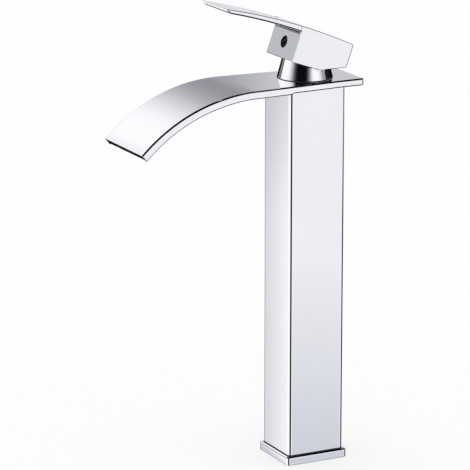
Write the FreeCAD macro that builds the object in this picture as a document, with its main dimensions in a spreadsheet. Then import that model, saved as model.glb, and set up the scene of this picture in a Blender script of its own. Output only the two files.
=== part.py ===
# Tall waterfall basin mixer for one deck hole. Millimetres, +Z up, the spout points to -Y.
# The origin is the middle of the foot on the deck. The lever is drawn raised, as in use.
import FreeCAD, Part
import math
import os
import re
import Sketcher
from FreeCAD import Placement, Rotation, Vector

# ---------------------------------------------------------------- driving sizes
SIZES = {
    # column, foot and top plate
    "column_depth": 42.0,
    "column_width": 38.0,
    "column_wall": 2.5,
    "column_edge": 2.5,
    "foot_height": 6.0,
    "foot_lip": 2.0,
    "foot_corner": 2.2,
    "foot_edge": 1.3,
    "plate_top": 265.5,
    "plate_thick": 4.8,
    "plate_rear": 12.0,
    "plate_corner": 2.5,
    # waterfall spout
    "spout_reach": 134.5,
    "spout_back_width": 46.8,
    "spout_width": 58.4,
    "flare_end": 81.0,
    "arch_start": 50.8,
    "arch_radius": 119.0,
    "spout_thick": 5.6,
    "spout_roof": 1.4,
    "spout_floor_thick": 1.4,
    "spout_side": 2.0,
    "throat_width": 30.0,
    "throat_run": 14.0,
    "passage_width": 16.0,
    "passage_depth": 2.8,
    "passage_front": 0.9,
    # bonnet and lever
    "bonnet_foot_radius": 18.8,
    "bonnet_height": 15.3,
    "bonnet_taper": 14.5,
    "bonnet_wall": 1.2,
    "bonnet_mouth": 12.4,
    "pivot_rise": 7.5,
    "lever_raise": 19.5,
    "lever_over": 5.0,
    "lever_wall": 1.3,
    "lever_gap": 0.35,
    "lever_skirt": 0.6,
    "lever_front": 21.0,
    "lever_rear": 20.8,
    "lever_end_wall": 2.2,
    "lever_top": 23.1,
    "lever_reach": 79.8,
    "lever_tip_top": 21.7,
    "lever_tip_thick": 2.3,
    "lever_tip_rake": 3.4,
    "lever_crown": 440.0,
    "paddle_under": 21.4,
    "paddle_fillet": 2.0,
    "heel_start": 2.0,
    "heel_radius": 22.5,
    "cavity_roof": 14.6,
    "boss_width": 13.0,
    "boss_behind": 5.6,
    "boss_floor": 8.5,
    "screw_pad": 4.4,
    "screw_pad_floor": 5.6,
    "screw_rise": 11.4,
    "screw_radius": 2.5,
    "screw_length": 12.0,
    "screw_hex": 2.5,
    "screw_recess_radius": 4.2,
    "screw_recess": 3.5,
    # cartridge
    "housing_radius": 12.5,
    "housing_bore": 10.8,
    "housing_roof": 2.2,
    "base_thick": 3.5,
    "fixed_disc_thick": 3.0,
    "fixed_disc_radius": 10.4,
    "moving_disc_thick": 3.5,
    "moving_disc_radius": 8.4,
    "moving_disc_recess": 5.2,
    "carrier_thick": 4.5,
    "carrier_offset": 1.6,
    "guide_plate": 2.5,
    "collar_radius": 8.6,
    "collar_rise": 4.3,
    "guide_gap": 0.2,
    "port_spacing": 13.0,
    "port_front": 2.5,
    "port_radius": 2.3,
    "mixed_back": 6.5,
    "seal_wire": 0.5,
    "peg_side": 7.5,
    "peg_back": 5.5,
    "peg_radius": 1.2,
    "peg_height": 2.0,
    "stem_side": 7.0,
    "stem_blade": 2.0,
    "stem_shoulder": 2.5,
    "stem_top": 20.0,
    "stem_gap": 0.15,
    "ball_radius": 1.9,
    "ball_sink": 2.0,
    "pin_radius": 1.5,
    "pin_length": 16.0,
    # valve body and its fastenings
    "neck_radius": 14.0,
    "neck_rise": 6.3,
    "seat_depth": 13.0,
    "seat_floor": 18.0,
    "duct_drop": 3.0,
    "duct_height": 4.7,
    "socket_depth": 9.0,
    "gasket_thick": 0.5,
    "ring_height": 2.8,
    "ring_cord": 0.7,
    "nut_radius": 16.1,
    "nut_top_radius": 14.9,
    "nut_straight": 1.6,
    "nut_lip": 1.8,
    "nut_slot": 3.0,
    # risers and base block
    "riser_radius": 4.0,
    "riser_wall": 1.0,
    "riser_cord": 0.65,
    "groove_inset": 2.0,
    "block_height": 20.0,
    "inlet_radius": 5.0,
    "inlet_depth": 11.0,
    "insert_edge": 0.6,
    "slip_fit": 0.05,
    "body_fit": 0.1,
    "seal_play": 0.02,
    # fixing below the deck
    "stud_radius": 4.0,
    "stud_back": 11.0,
    "stud_length": 78.0,
    "stud_depth": 14.0,
    "stud_edge": 0.6,
    "stud_play": 0.4,
    "bolt_radius": 2.0,
    "bolt_length": 14.0,
    "bolt_side": 11.5,
    "bolt_front": 13.5,
    "bolt_head_radius": 3.8,
    "bolt_head_depth": 2.2,
    "bolt_sink": 0.4,
    "bolt_socket": 2.5,
    "bolt_socket_depth": 1.5,
    "bolt_play": 0.2,
    "window_width": 13.0,
    "foot_gasket_thick": 1.5,
    "foot_gasket_band": 3.6,
    "foot_gasket_rim": 1.5,
    "deck_thick": 30.0,
    "saddle_radius": 25.0,
    "saddle_slot": 28.0,
    "saddle_rubber": 3.0,
    "saddle_plate": 3.0,
    "fixing_nut_flat": 13.0,
    "fixing_nut_height": 6.5,
}

# Sizes that follow from the driving ones, as formulas of their names.
RELATIONS = {
    "half_depth": "column_depth / 2",
    "half_width": "column_width / 2",
    "inner_depth": "half_depth - column_wall",
    "inner_width": "half_width - column_wall",
    "plate_under": "plate_top - plate_thick",
    "valve_top": "plate_under - gasket_thick",
    "insert_depth": "inner_depth - body_fit",
    "insert_width": "inner_width - body_fit",
    "arch_centre": "plate_top - arch_radius",
    "tip_sine": "(spout_reach - arch_start) / arch_radius",
    "tip_cosine": "sqrt(1 - tip_sine ^ 2)",
    "flare_slope": "(spout_width - spout_back_width) / 2 / (flare_end + half_depth)",
    "past_tip": "spout_reach + spout_thick",
    "passage_near": "insert_depth - passage_front",
    "passage_far": "passage_near - passage_depth",
    "bonnet_slope": "tan(bonnet_taper)",
    "bonnet_top_radius": "bonnet_foot_radius - bonnet_height * bonnet_slope",
    "pivot": "plate_top + pivot_rise",
    "skirt_reach": "bonnet_foot_radius - (pivot_rise + lever_skirt) * bonnet_slope + lever_gap",
    "lever_half": "skirt_reach + lever_wall",
    "seat": "plate_top - seat_depth",
    "base_top": "seat + base_thick",
    "fixed_top": "base_top + fixed_disc_thick",
    "moving_foot": "fixed_top + slip_fit",
    "moving_top": "moving_foot + moving_disc_thick",
    "carrier_top": "moving_top + carrier_thick",
    "guide_foot": "moving_top + guide_gap",
    "guide_under": "carrier_top + guide_gap",
    "guide_top": "guide_under + guide_plate",
    "collar_top": "pivot + collar_rise",
    "housing_under": "guide_top + guide_gap",
    "housing_top": "housing_under + housing_roof",
    "neck_top": "plate_top + neck_rise",
    "body_bore": "housing_radius + body_fit",
    "body_foot": "seat - seat_floor",
    "duct_floor": "seat - duct_drop - duct_height",
    "passage_mid": "passage_far + passage_depth / 2",
    "ring_top": "plate_top + ring_height",
    "ring_mid": "plate_top + ring_height / 2",
    "block_foot": "foot_height",
    "block_top": "foot_height + block_height",
    "riser_foot": "block_top - socket_depth + gasket_thick",
    "riser_top": "body_foot + socket_depth - gasket_thick",
    "riser_side": "port_spacing / 2",
    "socket_radius": "riser_radius + slip_fit",
    "groove_radius": "riser_radius + 2 * riser_cord + slip_fit",
    "groove_height": "2 * riser_cord + 4 * slip_fit",
    "full_raise": "lever_raise + lever_over",
    "ball_drop": "pivot - carrier_top + ball_sink",
    "disc_shift": "carrier_offset - ball_drop * sin(lever_raise)",
    "stem_half": "stem_side / 2",
    "stem_slot": "stem_half + stem_gap",
    "slot_front": "stem_half * cos(full_raise) + stem_shoulder * sin(full_raise) + 2 * guide_gap",
    "slot_rear": "collar_rise * tan(full_raise) + stem_half / cos(full_raise) + 2 * guide_gap",
    "guide_radius": "housing_bore - slip_fit",
    "seal_radius": "port_radius + seal_wire",
    "ring_radius": "bonnet_inside - ring_height * bonnet_slope - body_fit",
    "nut_foot": "ring_top + body_fit",
    "bonnet_inside": "bonnet_foot_radius - bonnet_wall / cos(bonnet_taper)",
    "ring_seal_radius": "bonnet_inside - ring_height / 2 * bonnet_slope"
                        " - ring_cord / cos(bonnet_taper) - slip_fit",
    "deck_under": "-deck_thick",
    "saddle_under": "deck_under - saddle_rubber - saddle_plate",
}

doc = FreeCAD.newDocument("waterfall_basin_faucet")
sheet = doc.addObject("Spreadsheet::Sheet", "Sizes")
for row, (alias, size) in enumerate(SIZES.items(), start=1):
    sheet.set(f"A{row}", alias.replace("_", " "))
    sheet.set(f"B{row}", str(size))
    sheet.setAlias(f"B{row}", alias)
doc.recompute()

parts = []


def formula(text):
    """The text with every size's name turned into a reference to the sheet."""
    def refer(match):
        word = match.group(0)
        if word in RELATIONS:
            return f"({formula(RELATIONS[word])})"
        return f"Sizes.{word}" if word in SIZES else word
    return re.sub(r"[A-Za-z_][A-Za-z0-9_]*", refer, str(text))


def value(text):
    return float(sheet.evalExpression(formula(text)))


def bind(thing, path, text):
    thing.setExpression(path, formula(text))


def place(thing, x="0", y="0", z="0"):
    for axis, text in zip("xyz", (x, y, z)):
        bind(thing, f"Placement.Base.{axis}", text)


def lean(thing):
    """Turn a piece of the lever about its pivot, from closed to raised."""
    thing.Placement = Placement(Vector(), Rotation(Vector(-1, 0, 0), SIZES["lever_raise"]))
    bind(thing, "Placement.Rotation.Angle", "lever_raise")
    bind(thing, "Placement.Base.z", "pivot")


def keep(thing, label):
    """Count a finished piece under its own name."""
    thing.Label = label
    parts.append(thing)
    return thing


def body(label):
    return keep(doc.addObject("PartDesign::Body", label + "_body"), label)


# ---------------------------------------------------------------- sketches
def sketch_on(owner, plane, offset="0"):
    sketch = owner.newObject("Sketcher::SketchObject", "Sketch")
    planes = owner.Origin.OriginFeatures
    support = next(feature for feature in planes if feature.Role == plane)
    sketch.AttachmentSupport = [(support, "")]
    sketch.MapMode = "FlatFace"
    bind(sketch, "AttachmentOffset.Base.z", offset)
    return sketch


def free_sketch(turn):
    sketch = doc.addObject("Sketcher::SketchObject", "Sketch")
    sketch.Placement = Placement(Vector(), turn)
    return sketch


def fix_point(sketch, edge, end, x, y):
    for kind, text in (("DistanceX", x), ("DistanceY", y)):
        number = sketch.addConstraint(
            Sketcher.Constraint(kind, -1, 1, edge, end, value(text)))
        bind(sketch, f"Constraints[{number}]", text)


def outline(sketch, corners):
    """A closed outline through corners (x, y). A corner (x, y, radius) starts an arc:
    its centre is on the left of the way to the next corner, or on the right if negative."""
    spots = [(value(corner[0]), value(corner[1])) for corner in corners]
    ends = []
    for number, corner in enumerate(corners):
        ax, ay = spots[number]
        bx, by = spots[(number + 1) % len(spots)]
        if len(corner) == 2:
            edge = sketch.addGeometry(Part.LineSegment(Vector(ax, ay, 0), Vector(bx, by, 0)))
            ends.append((edge, 1, 2))
            continue
        radius = value(corner[2])
        chord = math.hypot(bx - ax, by - ay)
        rise = math.copysign(math.sqrt(radius ** 2 - chord ** 2 / 4), radius) / chord
        centre = Vector((ax + bx) / 2 - (by - ay) * rise, (ay + by) / 2 + (bx - ax) * rise, 0)
        start = math.atan2(ay - centre.y, ax - centre.x)
        stop = math.atan2(by - centre.y, bx - centre.x)
        if radius < 0:
            start, stop = stop, start
        stop += 2 * math.pi * (stop < start)
        circle = Part.Circle(centre, Vector(0, 0, 1), abs(radius))
        edge = sketch.addGeometry(Part.ArcOfCircle(circle, start, stop))
        ends.append((edge, 1, 2) if radius > 0 else (edge, 2, 1))
        number = sketch.addConstraint(Sketcher.Constraint("Radius", edge, abs(radius)))
        bind(sketch, f"Constraints[{number}]", f"abs({corner[2]})")
    for (edge, _, last), (following, first, _) in zip(ends, ends[1:] + ends[:1]):
        sketch.addConstraint(Sketcher.Constraint("Coincident", edge, last, following, first))
    for (edge, first, _), corner in zip(ends, corners):
        fix_point(sketch, edge, first, corner[0], corner[1])
    return sketch


def block(sketch, half_x, half_y, x="0", y="0"):
    """A rectangle from its half sizes and its middle."""
    left, right = f"{x} - ({half_x})", f"{x} + ({half_x})"
    low, high = f"{y} - ({half_y})", f"{y} + ({half_y})"
    return outline(sketch, [(left, low), (right, low), (right, high), (left, high)])


def circle(sketch, radius, x="0", y="0"):
    spot = Vector(value(x), value(y), 0)
    edge = sketch.addGeometry(Part.Circle(spot, Vector(0, 0, 1), value(radius)))
    fix_point(sketch, edge, 3, x, y)
    number = sketch.addConstraint(Sketcher.Constraint("Radius", edge, value(radius)))
    bind(sketch, f"Constraints[{number}]", radius)
    return sketch


def hexagon(sketch, flats):
    """A hexagon about the sketch's origin from its size across flats."""
    corner = f"({flats}) / sqrt(3)"
    return outline(sketch, [(f"{corner} * cos({turn})", f"{corner} * sin({turn})")
                            for turn in range(0, 360, 60)])


# ---------------------------------------------------------------- features
def pad(owner, sketch, length, symmetric=False, backwards=False):
    feature = owner.newObject("PartDesign::Pad", "Pad")
    feature.Profile = sketch
    feature.SideType = "Symmetric" if symmetric else "One side"
    feature.Reversed = backwards
    bind(feature, "Length", length)
    doc.recompute()
    return feature


def pocket(owner, sketch, depth, symmetric=False, backwards=False):
    """Cut against the sketch's normal, or along it if backwards."""
    before = owner.Shape.Volume
    feature = owner.newObject("PartDesign::Pocket", "Pocket")
    feature.Profile = sketch
    feature.SideType = "Symmetric" if symmetric else "One side"
    feature.Reversed = backwards
    bind(feature, "Length", depth)
    doc.recompute()
    if not owner.Shape.Volume < before:
        raise RuntimeError(f"{owner.Label}: a pocket cut nothing")
    return feature


def turned(label, ring):
    """A body of revolution about its own Z axis from corners (radius, height)."""
    owner = body(label)
    feature = owner.newObject("PartDesign::Revolution", "Revolution")
    feature.Profile = outline(sketch_on(owner, "XZ_Plane"), ring)
    feature.ReferenceAxis = (feature.Profile[0], ["V_Axis"])
    feature.Angle = 360
    doc.recompute()
    return owner


def groove(owner, x, y, radius, low, high):
    """A ring groove cut into the wall of an upright hole."""
    sketch = sketch_on(owner, "XZ_Plane", f"-({y})")
    foot, head = Vector(value(x), value(low), 0), Vector(value(x), value(high), 0)
    axis = sketch.addGeometry(Part.LineSegment(foot, head), True)
    fix_point(sketch, axis, 1, x, low)
    fix_point(sketch, axis, 2, x, high)
    outline(sketch, [(x, low), (f"{x} + {radius}", low), (f"{x} + {radius}", high), (x, high)])
    before = owner.Shape.Volume
    feature = owner.newObject("PartDesign::Groove", "Groove")
    feature.Profile = sketch
    feature.ReferenceAxis = (sketch, ["Axis0"])
    feature.Angle = 360
    doc.recompute()
    if not owner.Shape.Volume < before:
        raise RuntimeError(f"{owner.Label}: a groove cut nothing")


def hexagon_socket(owner, flats, depth, backwards=True, offset="0"):
    """A hexagon socket cut from a plane of the body, offset along its own Z axis."""
    return pocket(owner, hexagon(sketch_on(owner, "XY_Plane", offset), flats), depth,
                  backwards=backwards)


def edges_where(shape, wanted):
    """Names of the edges whose middle point passes the test."""
    names = []
    for number, edge in enumerate(shape.Edges, start=1):
        middle = edge.valueAt((edge.FirstParameter + edge.LastParameter) / 2)
        if wanted(edge, middle):
            names.append(f"Edge{number}")
    return names


def soften(owner, kind, size, wanted):
    """Round ("Fillet") or bevel ("Chamfer") the chosen edges of a body."""
    base = owner.Tip
    names = edges_where(base.Shape, wanted)
    feature = owner.newObject(f"PartDesign::{kind}", kind)
    feature.Base = (base, names)
    bind(feature, "Radius" if kind == "Fillet" else "Size", size)
    doc.recompute()
    return feature


def upright(edge, middle):
    direction = edge.tangentAt(edge.FirstParameter)
    return edge.Curve.TypeId == "Part::GeomLine" and abs(direction.z) > 0.99


def ring_seal(label, major, minor, spots):
    """One or more O-rings or port seals, each at (x, y, z), kept as one piece."""
    rings = []
    for x, y, z in spots:
        ring = doc.addObject("Part::Torus", "Ring")
        bind(ring, "Radius1", major)
        bind(ring, "Radius2", minor)
        place(ring, x, y, z)
        rings.append(ring)
    if len(rings) == 1:
        return keep(rings[0], label)
    group = doc.addObject("Part::Compound", label + "_group")
    group.Links = rings
    return keep(group, label)


# ---------------------------------------------------------------- foot
def make_foot():
    """Cast foot plate under the column, open for the hoses, the stud and two screws."""
    foot = body("base_flange")
    half_x, half_y = "half_width + foot_lip", "half_depth + foot_lip"
    pad(foot, block(sketch_on(foot, "XY_Plane"), half_x, half_y), "foot_height")
    soften(foot, "Fillet", "foot_corner", upright)
    soften(foot, "Fillet", "foot_edge", lambda edge, middle: middle.z > value("foot_height") - 0.01)
    window = sketch_on(foot, "XY_Plane")
    side, rim = "riser_side", "window_width / 2"
    outline(window, [(f"-{side}", f"-port_front - {rim}"),
                     (side, f"-port_front - {rim}", rim), (f"{side} + {rim}", "-port_front", rim),
                     (side, f"-port_front + {rim}"),
                     (f"-{side}", f"-port_front + {rim}", rim), (f"-{side} - {rim}", "-port_front", rim)])
    pocket(foot, window, "foot_height", backwards=True)
    pocket(foot, circle(sketch_on(foot, "XY_Plane"), "stud_radius + stud_play", "0", "stud_back"),
           "foot_height", backwards=True)
    screws = sketch_on(foot, "XY_Plane")
    heads = sketch_on(foot, "XY_Plane")
    for sign in ("-", ""):
        circle(screws, "bolt_radius + bolt_play", f"{sign}bolt_side", "-bolt_front")
        circle(heads, "bolt_head_radius + bolt_play", f"{sign}bolt_side", "-bolt_front")
    pocket(foot, screws, "foot_height", backwards=True)
    pocket(foot, heads, "bolt_head_depth + bolt_sink", backwards=True)
    recess = sketch_on(foot, "XY_Plane")
    block(recess, f"{half_x} - foot_gasket_rim", f"{half_y} - foot_gasket_rim")
    block(recess, f"{half_x} - foot_gasket_rim - foot_gasket_band",
          f"{half_y} - foot_gasket_rim - foot_gasket_band")
    pocket(foot, recess, "foot_gasket_thick", backwards=True)


def make_foot_gasket():
    """Rubber frame in the foot's underside, flush with it on the deck."""
    gasket = body("base_gasket")
    frame = sketch_on(gasket, "XY_Plane")
    for inset in ("foot_gasket_rim + slip_fit", "foot_gasket_rim + foot_gasket_band - slip_fit"):
        block(frame, f"half_width + foot_lip - ({inset})", f"half_depth + foot_lip - ({inset})")
    pad(gasket, frame, "foot_gasket_thick")


def make_column():
    """Square drawn tube from the foot to the underside of the spout plate."""
    column = body("column_shell")
    pad(column, block(sketch_on(column, "XY_Plane"), "half_width", "half_depth"),
        "plate_under - foot_height")
    soften(column, "Fillet", "column_edge", upright)
    pocket(column, block(sketch_on(column, "XY_Plane"), "inner_width", "inner_depth"),
           "plate_under - foot_height", backwards=True)
    place(column, z="foot_height")


def make_base_block():
    """Brass block in the column's foot: hose inlets, stud thread and riser sockets."""
    base = body("base_block")
    pad(base, block(sketch_on(base, "XY_Plane"), "insert_width", "insert_depth"), "block_height")
    soften(base, "Chamfer", "insert_edge", upright)
    ports, sockets, bores, screws = (sketch_on(base, "XY_Plane") for _ in range(4))
    for sign in ("-", ""):
        circle(ports, "inlet_radius", f"{sign}riser_side", "-port_front")
        circle(sockets, "socket_radius", f"{sign}riser_side", "-port_front")
        circle(bores, "riser_radius - riser_wall", f"{sign}riser_side", "-port_front")
        circle(screws, "bolt_radius + slip_fit", f"{sign}bolt_side", "-bolt_front")
    pocket(base, bores, "block_height", backwards=True)
    pocket(base, ports, "inlet_depth", backwards=True)
    bind(sockets, "AttachmentOffset.Base.z", "block_height")
    pocket(base, sockets, "socket_depth")
    pocket(base, screws, "bolt_length - foot_height + 2 * bolt_sink", backwards=True)
    pocket(base, circle(sketch_on(base, "XY_Plane"), "stud_radius + slip_fit", "0", "stud_back"),
           "stud_depth", backwards=True)
    for sign in ("-", ""):
        groove(base, f"{sign}riser_side", "-port_front", "groove_radius",
               "block_height - groove_inset - groove_height", "block_height - groove_inset")
    place(base, z="block_foot")


def make_base_screws():
    """Two countersunk screws that pull the foot plate up against the base block."""
    screws = []
    for sign in ("-", ""):
        screw = doc.addObject("PartDesign::Body", "Screw")
        profile = outline(sketch_on(screw, "XZ_Plane"), [
            ("0", "0"), ("bolt_head_radius", "0"), ("bolt_head_radius", "bolt_head_depth"),
            ("bolt_radius", "bolt_head_depth"), ("bolt_radius", "bolt_length"),
            ("0", "bolt_length")])
        turn = screw.newObject("PartDesign::Revolution", "Revolution")
        turn.Profile = profile
        turn.ReferenceAxis = (profile, ["V_Axis"])
        turn.Angle = 360
        doc.recompute()
        hexagon_socket(screw, "bolt_socket", "bolt_socket_depth")
        place(screw, f"{sign}bolt_side", "-bolt_front", "bolt_sink")
        screws.append(screw)
    group = doc.addObject("Part::Compound", "base_screws_group")
    group.Links = screws
    keep(group, "base_screws")


def make_risers():
    """Copper tubes that carry hot and cold water up the column."""
    for label, sign in (("hot_riser", "-"), ("cold_riser", "")):
        riser = turned(label, [
            ("riser_radius - riser_wall", "0"), ("riser_radius", "0"),
            ("riser_radius", "riser_top - riser_foot"),
            ("riser_radius - riser_wall", "riser_top - riser_foot")])
        place(riser, f"{sign}riser_side", "-port_front", "riser_foot")
    low = "block_top - groove_inset - groove_height / 2"
    high = "body_foot + groove_inset + groove_height / 2"
    ring_seal("riser_o_rings", "riser_radius + riser_cord + seal_play", "riser_cord",
              [(f"{sign}riser_side", "-port_front", level) for sign in ("-", "")
               for level in (low, high)])


# ---------------------------------------------------------------- valve body
def make_valve_body():
    """Brass body in the head of the column: cartridge seat, riser sockets, spout passage."""
    valve = body("valve_body")
    pad(valve, block(sketch_on(valve, "XY_Plane", "body_foot"), "insert_width", "insert_depth"),
        "valve_top - body_foot")
    soften(valve, "Chamfer", "insert_edge", upright)
    pad(valve, circle(sketch_on(valve, "XY_Plane", "valve_top"), "neck_radius"),
        "neck_top - valve_top")
    pocket(valve, circle(sketch_on(valve, "XY_Plane", "neck_top"), "body_bore"), "neck_top - seat")
    bores, sockets, pegs = (sketch_on(valve, "XY_Plane", level)
                            for level in ("seat", "body_foot", "seat"))
    for sign in ("-", ""):
        circle(bores, "port_radius", f"{sign}riser_side", "-port_front")
        circle(sockets, "socket_radius", f"{sign}riser_side", "-port_front")
        circle(pegs, "peg_radius + slip_fit", f"{sign}peg_side", "peg_back")
    pocket(valve, bores, "seat_floor")
    pocket(valve, sockets, "socket_depth", backwards=True)
    pocket(valve, pegs, "peg_height + gasket_thick")
    pocket(valve, circle(sketch_on(valve, "XY_Plane", "seat"), "port_radius", "0", "mixed_back"),
           "duct_drop + duct_height / 2")
    passage = block(sketch_on(valve, "XY_Plane", "valve_top"), "passage_width / 2",
                    "passage_depth / 2", "0", "-passage_mid")
    pocket(valve, passage, "valve_top - duct_floor")
    duct = block(sketch_on(valve, "XY_Plane", "seat - duct_drop"), "port_radius",
                 "(passage_near + mixed_back + port_radius) / 2", "0",
                 "(mixed_back + port_radius - passage_near) / 2")
    pocket(valve, duct, "duct_height")
    for sign in ("-", ""):
        groove(valve, f"{sign}riser_side", "-port_front", "groove_radius",
               "body_foot + groove_inset", "body_foot + groove_inset + groove_height")


def make_valve_gasket():
    """Flat gasket between the valve body's shoulder and the spout plate."""
    gasket = body("valve_gasket")
    face = sketch_on(gasket, "XY_Plane", "valve_top")
    block(face, "insert_width", "insert_depth")
    circle(face, "neck_radius + slip_fit")
    block(face, "passage_width / 2", "passage_depth / 2", "0", "-passage_mid")
    pad(gasket, face, "gasket_thick")


# ---------------------------------------------------------------- spout
def flared(inset, start_y):
    """Right-hand corners of a plan that flares with the spout, inset from its sides."""
    at_start = f"spout_back_width / 2 - ({inset}) + (half_depth - ({start_y})) * flare_slope"
    front = f"spout_width / 2 - ({inset})"
    return [(at_start, start_y), (front, "-flare_end"), (front, "-past_tip")]


def plan(side, height="2 * plate_top + spout_thick"):
    """A solid standing on a plan outline given by its right-hand corners, back to front."""
    left = [(f"-({corner[0]})", corner[1]) for corner in reversed(side)]
    sketch = outline(free_sketch(Rotation()), side + left)
    return extruded(sketch, height)


def side_band(start_y, inner_drop, outer_drop, tail):
    """A solid across the spout between two depths under its top, from start_y to the tip.
    The tail lists the lower corners from the arch's start back to start_y."""
    outer = f"(arch_radius - ({outer_drop}))"
    inner = f"(arch_radius - ({inner_drop}))"
    corners = [
        (start_y, f"arch_centre + {outer}"), ("-arch_start", f"arch_centre + {outer}", outer),
        (f"-arch_start - {outer} * tip_sine", f"arch_centre + {outer} * tip_cosine"),
        (f"-arch_start - {inner} * tip_sine", f"arch_centre + {inner} * tip_cosine", f"-{inner}"),
        ("-arch_start", f"arch_centre + {inner}")]
    sketch = outline(free_sketch(Rotation(Vector(1, 1, 1), 120)), corners + tail)
    return extruded(sketch, "spout_width + 2 * spout_side")


def floor_band():
    """The layer that the spout's floor fills, from the column's front to the tip."""
    return side_band("-half_depth", "spout_thick", "spout_thick - spout_floor_thick",
                     [("-half_depth", "plate_top - spout_thick")])


def extruded(sketch, length):
    solid = doc.addObject("Part::Extrusion", "Extrusion")
    solid.Base = sketch
    solid.DirMode = "Normal"
    solid.Solid = True
    solid.Symmetric = True
    bind(solid, "LengthFwd", length)
    return solid


def joined(kind, base, tool):
    """A boolean of two solids: "Common" or "Cut"."""
    result = doc.addObject(f"Part::{kind}", kind)
    result.Base = base
    result.Tool = tool
    return result


def make_spout():
    """Spout plate with its hollow arch, and the floor brazed in under the water channel."""
    rear = "half_depth + plate_rear"
    half_back = "spout_back_width / 2"
    over_column = [("-half_depth", "plate_top - spout_thick"), ("-half_depth", "plate_under"),
                   (rear, "plate_under")]
    corners = [(f"{half_back} - plate_corner", rear, "-plate_corner"),
               (half_back, f"{rear} - plate_corner"), (half_back, "half_depth"),
               ("spout_width / 2", "-flare_end"), ("spout_width / 2", "-past_tip"),
               ("-spout_width / 2", "-past_tip"), ("-spout_width / 2", "-flare_end"),
               (f"-{half_back}", "half_depth"),
               (f"-{half_back}", f"{rear} - plate_corner", "-plate_corner"),
               (f"plate_corner - {half_back}", rear)]
    outside = extruded(outline(free_sketch(Rotation()), corners), "2 * plate_top + spout_thick")
    plate = joined("Common", outside, side_band(rear, "spout_thick", "0", over_column))

    run_end = "-half_depth - throat_run"
    throat = [("throat_width / 2", "-passage_far"), ("throat_width / 2", "-half_depth")]
    channel_side = side_band("-passage_far", "spout_thick - spout_floor_thick", "spout_roof", [
        ("-half_depth", "plate_top - spout_thick + spout_floor_thick"),
        ("-half_depth", "plate_under"), ("-passage_far", "plate_under")])
    channel = joined("Common", plan(throat + flared("spout_side", run_end)), channel_side)
    recess = joined("Common", plan(flared("spout_side", "-half_depth")), floor_band())
    neck = doc.addObject("Part::Cylinder", "Neck")
    bind(neck, "Radius", "neck_radius + slip_fit")
    bind(neck, "Height", "plate_top + spout_thick")
    hollow = joined("Cut", joined("Cut", plate, channel), recess)
    keep(joined("Cut", hollow, neck), "spout_plate")

    keep(joined("Common", plan(flared("spout_side + slip_fit", "-half_depth")), floor_band()),
         "spout_floor")


# ---------------------------------------------------------------- head of the column
def make_clamp_ring():
    """Threaded ring on the valve body's neck that clamps the spout plate to the column."""
    groove_depth = "ring_seal_radius - ring_cord - slip_fit"
    half = "(ring_cord + 2 * slip_fit)"
    turned("clamp_ring", [
        ("neck_radius + slip_fit", "plate_top"), ("ring_radius", "plate_top"),
        ("ring_radius", f"ring_mid - {half}"), (groove_depth, f"ring_mid - {half}"),
        (groove_depth, f"ring_mid + {half}"), ("ring_radius", f"ring_mid + {half}"),
        ("ring_radius", "ring_top"), ("neck_radius + slip_fit", "ring_top")])
    ring_seal("bonnet_o_ring", "ring_seal_radius", "ring_cord", [("0", "0", "ring_mid")])


def make_bonnet():
    """Tapered cover pushed over the clamp ring's O-ring; it hides the cartridge nut."""
    top = "plate_top + bonnet_height"
    inner_top = f"{top} - bonnet_wall"
    turned("bonnet", [
        ("bonnet_inside", "plate_top"), ("bonnet_foot_radius", "plate_top"),
        ("bonnet_top_radius", top), ("bonnet_mouth", top), ("bonnet_mouth", inner_top),
        ("bonnet_inside - (bonnet_height - bonnet_wall) * bonnet_slope", inner_top)])


def make_retaining_nut():
    """Slotted nut on the neck; its lip holds the cartridge down on its seat."""
    top = "housing_top + nut_lip"
    lip = "collar_radius + 4 * guide_gap"
    nut = turned("retaining_nut", [
        ("neck_radius + slip_fit", "nut_foot"), ("nut_radius", "nut_foot"),
        ("nut_radius", "nut_foot + nut_straight"), ("nut_top_radius", top), (lip, top),
        (lip, "housing_top"), ("neck_radius + slip_fit", "housing_top")])
    for half_x, half_y in (("nut_radius", "nut_slot / 2"), ("nut_slot / 2", "nut_radius")):
        slot = sketch_on(nut, "XY_Plane", top)
        block(slot, half_x, half_y)
        pocket(nut, slot, "nut_lip / 2")


# ---------------------------------------------------------------- cartridge
def ports(sketch, radius):
    """The two inlets at the front and the mixed outlet at the back."""
    for sign in ("-", ""):
        circle(sketch, radius, f"{sign}riser_side", "-port_front")
    return circle(sketch, radius, "0", "mixed_back")


def make_cartridge_base():
    """Plastic foot of the cartridge, with its port seals and locating pegs."""
    base = body("cartridge_base")
    pad(base, circle(sketch_on(base, "XY_Plane", "seat"), "housing_radius"), "base_thick")
    pegs = sketch_on(base, "XY_Plane", "seat")
    for sign in ("-", ""):
        circle(pegs, "peg_radius", f"{sign}peg_side", "peg_back")
    pad(base, pegs, "peg_height", backwards=True)
    pocket(base, ports(sketch_on(base, "XY_Plane", "base_top"), "port_radius"), "base_thick")
    cup = "port_radius + 2 * seal_wire"
    pocket(base, ports(sketch_on(base, "XY_Plane", "base_top"), cup), "2 * seal_wire")
    pocket(base, ports(sketch_on(base, "XY_Plane", "seat"), cup), "2 * seal_wire", backwards=True)
    spots = [("-riser_side", "-port_front"), ("riser_side", "-port_front"), ("0", "mixed_back")]
    for label, level in (("seat_seals", "seat + seal_wire"), ("disc_seals", "base_top - seal_wire")):
        ring_seal(label, "seal_radius", "seal_wire - seal_play / 2",
                  [(x, y, level) for x, y in spots])


def make_cartridge_housing():
    """Plastic cup over the discs; its roof takes the guide's thrust and the nut's pressure."""
    turned("cartridge_housing", [
        ("housing_bore", "base_top"), ("housing_radius", "base_top"),
        ("housing_radius", "housing_top"), ("collar_radius + body_fit", "housing_top"),
        ("collar_radius + body_fit", "housing_under"), ("housing_bore", "housing_under")])


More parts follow.
